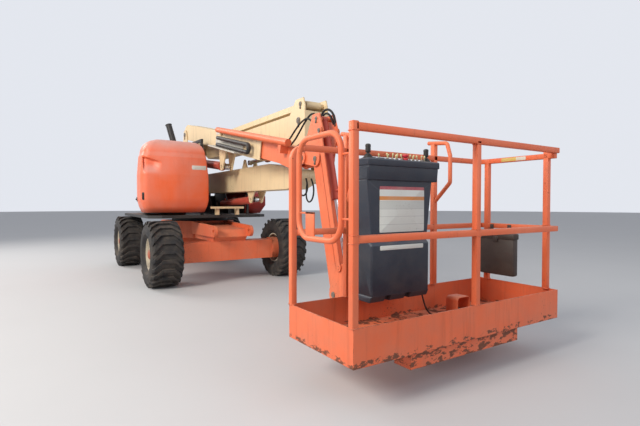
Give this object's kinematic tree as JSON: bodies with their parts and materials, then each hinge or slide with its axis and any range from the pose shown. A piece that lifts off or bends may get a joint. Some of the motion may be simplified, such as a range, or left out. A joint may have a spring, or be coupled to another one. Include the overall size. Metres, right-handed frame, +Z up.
{
  "type": "articulating boom lift",
  "caption": "Self-propelled articulating boom lift with a folding riser tower, telescoping main boom, jib and rotating work platform, stowed on flotation tyres.",
  "frame": {"origin": "on the floor, under the middle of the machine's stowed length and width", "axes": "+X along the stowed booms towards the platform, +Y to the machine's left, +Z up"},
  "size_m": [6.87, 2.14, 2.3546],
  "materials": {
    "tyre_rubber": "dusty worn rubber",
    "rim_paint": "dull painted steel",
    "orange_paint": "faded gloss paint",
    "hood_orange": "sun-faded moulded panel",
    "hood_red": "moulded panel",
    "cream_paint": "weathered paint",
    "black_steel": "oily black paint",
    "stack_black": "heat-resistant paint",
    "ram_red": "semi-gloss paint",
    "rod_chrome": "polished",
    "tray_grey": "galvanised and dusty",
    "chain_plastic": "ribbed",
    "console_plastic": "textured"
  },
  "bodies": {
    "chassis": {"chassis_frame": "orange_paint", "drive_axle": "orange_paint", "steer_axle": "orange_paint"},
    "knuckle_left": {"knuckle_left": "black_steel"},
    "knuckle_right": {"knuckle_right": "black_steel"},
    "wheel_front_left": {"tyre_front_left": "tyre_rubber", "rim_front_left": "rim_paint"},
    "wheel_front_right": {"tyre_front_right": "tyre_rubber", "rim_front_right": "rim_paint"},
    "wheel_rear_left": {"tyre_rear_left": "tyre_rubber", "rim_rear_left": "rim_paint"},
    "wheel_rear_right": {"tyre_rear_right": "tyre_rubber", "rim_rear_right": "rim_paint"},
    "turntable": {"slew_ring": "black_steel", "turntable_frame": "black_steel", "engine_block": "black_steel", "fluid_tank": "black_steel", "front_guard_bar": "cream_paint"},
    "engine_cover": {"engine_hood": "hood_orange", "exhaust_stack": "stack_black"},
    "tank_cover": {"tank_hood": "hood_red"},
    "lower_boom": {"lower_boom": "cream_paint"},
    "front_upright": {"front_upright": "cream_paint"},
    "mid_boom": {"mid_boom": "cream_paint"},
    "upper_link": {"upper_link": "cream_paint"},
    "rear_upright": {"rear_upright": "cream_paint"},
    "tower_ram_barrel": {"tower_ram_barrel": "ram_red"},
    "tower_ram_rod": {"tower_ram_rod": "rod_chrome"},
    "upper_ram_barrel": {"upper_ram_barrel": "ram_red"},
    "upper_ram_rod": {"upper_ram_rod": "rod_chrome"},
    "lift_ram_barrel": {"lift_ram_barrel": "ram_red"},
    "lift_ram_rod": {"lift_ram_rod": "rod_chrome"},
    "main_boom": {"main_boom": "cream_paint", "hose_tray": "tray_grey", "hose_chain": "chain_plastic"},
    "fly_boom": {"fly_boom": "orange_paint", "push_tube": "orange_paint"},
    "level_bracket": {"level_bracket": "orange_paint"},
    "jib_boom": {"jib_boom": "orange_paint"},
    "jib_link": {"jib_link": "orange_paint"},
    "jib_ram_barrel": {"jib_ram_barrel": "ram_red"},
    "jib_ram_rod": {"jib_ram_rod": "rod_chrome"},
    "platform_carrier": {"platform_carrier": "orange_paint"},
    "platform": {"rotator_bracket": "orange_paint", "platform_floor": "orange_paint", "platform_rails": "orange_paint", "control_console": "console_plastic"},
    "gate": {"gate": "orange_paint"}
  },
  "joints": [
    {"name": "steer", "type": "hinge", "parent": "chassis", "child": "knuckle_left", "pos_m": [-3.015, 0.56, 0.42], "axis": [0, 0, 1], "range_deg": [-35, 35]},
    {"name": "steer_right", "type": "hinge", "parent": "chassis", "child": "knuckle_right", "pos_m": [-3.015, -0.56, 0.42], "axis": [0, 0, 1], "range_deg": [-35, 35]},
    {"name": "roll_front_left", "type": "hinge", "parent": "chassis", "child": "wheel_front_left", "pos_m": [-0.675, 0.8725, 0.42], "axis": [0, 1, 0], "continuous": true},
    {"name": "roll_front_right", "type": "hinge", "parent": "chassis", "child": "wheel_front_right", "pos_m": [-0.675, -0.8725, 0.42], "axis": [0, 1, 0], "continuous": true},
    {"name": "roll_rear_left", "type": "hinge", "parent": "knuckle_left", "child": "wheel_rear_left", "pos_m": [-3.015, 0.8725, 0.42], "axis": [0, 1, 0], "continuous": true},
    {"name": "roll_rear_right", "type": "hinge", "parent": "knuckle_right", "child": "wheel_rear_right", "pos_m": [-3.015, -0.8725, 0.42], "axis": [0, 1, 0], "continuous": true},
    {"name": "swing", "type": "hinge", "parent": "chassis", "child": "turntable", "pos_m": [-1.845, 0, 0.8], "axis": [0, 0, 1], "range_deg": [-177, 177]},
    {"name": "engine_hood_lift", "type": "hinge", "parent": "turntable", "child": "engine_cover", "pos_m": [-1.845, -0.23, 1.985], "axis": [-1, 0, 0], "range_deg": [0, 60]},
    {"name": "tank_hood_lift", "type": "hinge", "parent": "turntable", "child": "tank_cover", "pos_m": [-1.845, 0.5, 1.56], "axis": [1, 0, 0], "range_deg": [0, 60]},
    {"name": "tower_lift", "type": "hinge", "parent": "turntable", "child": "lower_boom", "pos_m": [-2.255, 0.32, 1.37], "axis": [0, -1, 0], "range_deg": [0, 54]},
    {"name": "front_upright_level", "type": "hinge", "parent": "lower_boom", "child": "front_upright", "pos_m": [0.945, 0.32, 1.37], "axis": [0, -1, 0], "range_deg": [-54, 0]},
    {"name": "mid_boom_lift", "type": "hinge", "parent": "front_upright", "child": "mid_boom", "pos_m": [1.015, 0.32, 1.96], "axis": [0, -1, 0], "range_deg": [-54, 0]},
    {"name": "upper_link_lift", "type": "hinge", "parent": "front_upright", "child": "upper_link", "pos_m": [1.055, 0.32, 2.13], "axis": [0, -1, 0], "range_deg": [-54, 0]},
    {"name": "rear_upright_level", "type": "hinge", "parent": "mid_boom", "child": "rear_upright", "pos_m": [-2.185, 0.32, 1.96], "axis": [0, -1, 0], "range_deg": [0, 54]},
    {"name": "tower_ram_foot", "type": "hinge", "parent": "turntable", "child": "tower_ram_barrel", "pos_m": [-1.695, 0.32, 1.06], "axis": [0, -1, 0], "range_deg": [0, 63.56]},
    {"name": "tower_ram_stroke", "type": "slide", "parent": "tower_ram_barrel", "child": "tower_ram_rod", "axis": [0.9989, 0, 0.0461], "range_m": [0, 0.52143]},
    {"name": "upper_ram_foot", "type": "hinge", "parent": "front_upright", "child": "upper_ram_barrel", "pos_m": [0.815, 0.32, 1.68], "axis": [0, -1, 0], "range_deg": [0, 52.92]},
    {"name": "upper_ram_stroke", "type": "slide", "parent": "upper_ram_barrel", "child": "upper_ram_rod", "axis": [-0.9995, 0, -0.0319], "range_m": [0, 0.30381]},
    {"name": "main_lift", "type": "hinge", "parent": "rear_upright", "child": "main_boom", "pos_m": [-2.225, 0, 2.2], "axis": [0, -1, 0], "range_deg": [0, 84]},
    {"name": "lift_ram_foot", "type": "hinge", "parent": "rear_upright", "child": "lift_ram_barrel", "pos_m": [-2.045, 0, 1.74], "axis": [0, -1, 0], "range_deg": [0, 79.61]},
    {"name": "lift_ram_stroke", "type": "slide", "parent": "lift_ram_barrel", "child": "lift_ram_rod", "axis": [0.9926, 0, -0.1214], "range_m": [0, 0.64834]},
    {"name": "telescope", "type": "slide", "parent": "main_boom", "child": "fly_boom", "axis": [0.9799, 0, -0.1994], "range_m": [0, 1.8]},
    {"name": "level_bracket_pin", "type": "hinge", "parent": "fly_boom", "child": "level_bracket", "pos_m": [1.54007, 0, 1.49522], "axis": [0, -1, 0], "range_deg": [-84, 0]},
    {"name": "jib_lift", "type": "hinge", "parent": "level_bracket", "child": "jib_boom", "pos_m": [1.755, 0, 1.47], "axis": [0, -1, 0], "range_deg": [0, 120]},
    {"name": "jib_link_lift", "type": "hinge", "parent": "level_bracket", "child": "jib_link", "pos_m": [1.845, 0, 1.714], "axis": [0, -1, 0], "range_deg": [0, 120]},
    {"name": "jib_ram_foot", "type": "hinge", "parent": "level_bracket", "child": "jib_ram_barrel", "pos_m": [1.774, 0, 1.83], "axis": [0, -1, 0], "range_deg": [0, 110.47]},
    {"name": "jib_ram_stroke", "type": "slide", "parent": "jib_ram_barrel", "child": "jib_ram_rod", "axis": [0.2554, 0, -0.9668], "range_m": [-0.59937, 0]},
    {"name": "platform_level", "type": "hinge", "parent": "jib_boom", "child": "platform_carrier", "pos_m": [2.05015, 0, 0.28624], "axis": [0, -1, 0], "range_deg": [-120, 0]},
    {"name": "platform_turn", "type": "hinge", "parent": "platform_carrier", "child": "platform", "pos_m": [2.455, 0, 0.28624], "axis": [0, 0, 1], "range_deg": [-90, 90]},
    {"name": "gate_swing", "type": "hinge", "parent": "platform", "child": "gate", "pos_m": [3.345, -0.89, 0.89], "axis": [0, 0, -1], "range_deg": [0, 45]}
  ],
  "couplings": [
    {"joint": "steer_right", "follows": "steer", "ratio": 1},
    {"joint": "front_upright_level", "follows": "tower_lift", "ratio": -1},
    {"joint": "mid_boom_lift", "follows": "tower_lift", "ratio": -1},
    {"joint": "upper_link_lift", "follows": "tower_lift", "ratio": -1},
    {"joint": "rear_upright_level", "follows": "tower_lift", "ratio": 1},
    {"joint": "tower_ram_foot", "follows": "tower_lift", "ratio": 1.177},
    {"joint": "tower_ram_stroke", "follows": "tower_lift", "m_per_rad": 0.55326},
    {"joint": "upper_ram_foot", "follows": "tower_lift", "ratio": 0.98},
    {"joint": "upper_ram_stroke", "follows": "tower_lift", "m_per_rad": 0.32235},
    {"joint": "lift_ram_foot", "follows": "main_lift", "ratio": 0.94774},
    {"joint": "lift_ram_stroke", "follows": "main_lift", "m_per_rad": 0.44223},
    {"joint": "level_bracket_pin", "follows": "main_lift", "ratio": -1},
    {"joint": "jib_link_lift", "follows": "jib_lift", "ratio": 1},
    {"joint": "jib_ram_foot", "follows": "jib_lift", "ratio": 0.92057},
    {"joint": "jib_ram_stroke", "follows": "jib_lift", "m_per_rad": -0.28618},
    {"joint": "platform_level", "follows": "jib_lift", "ratio": -1}
  ]
}
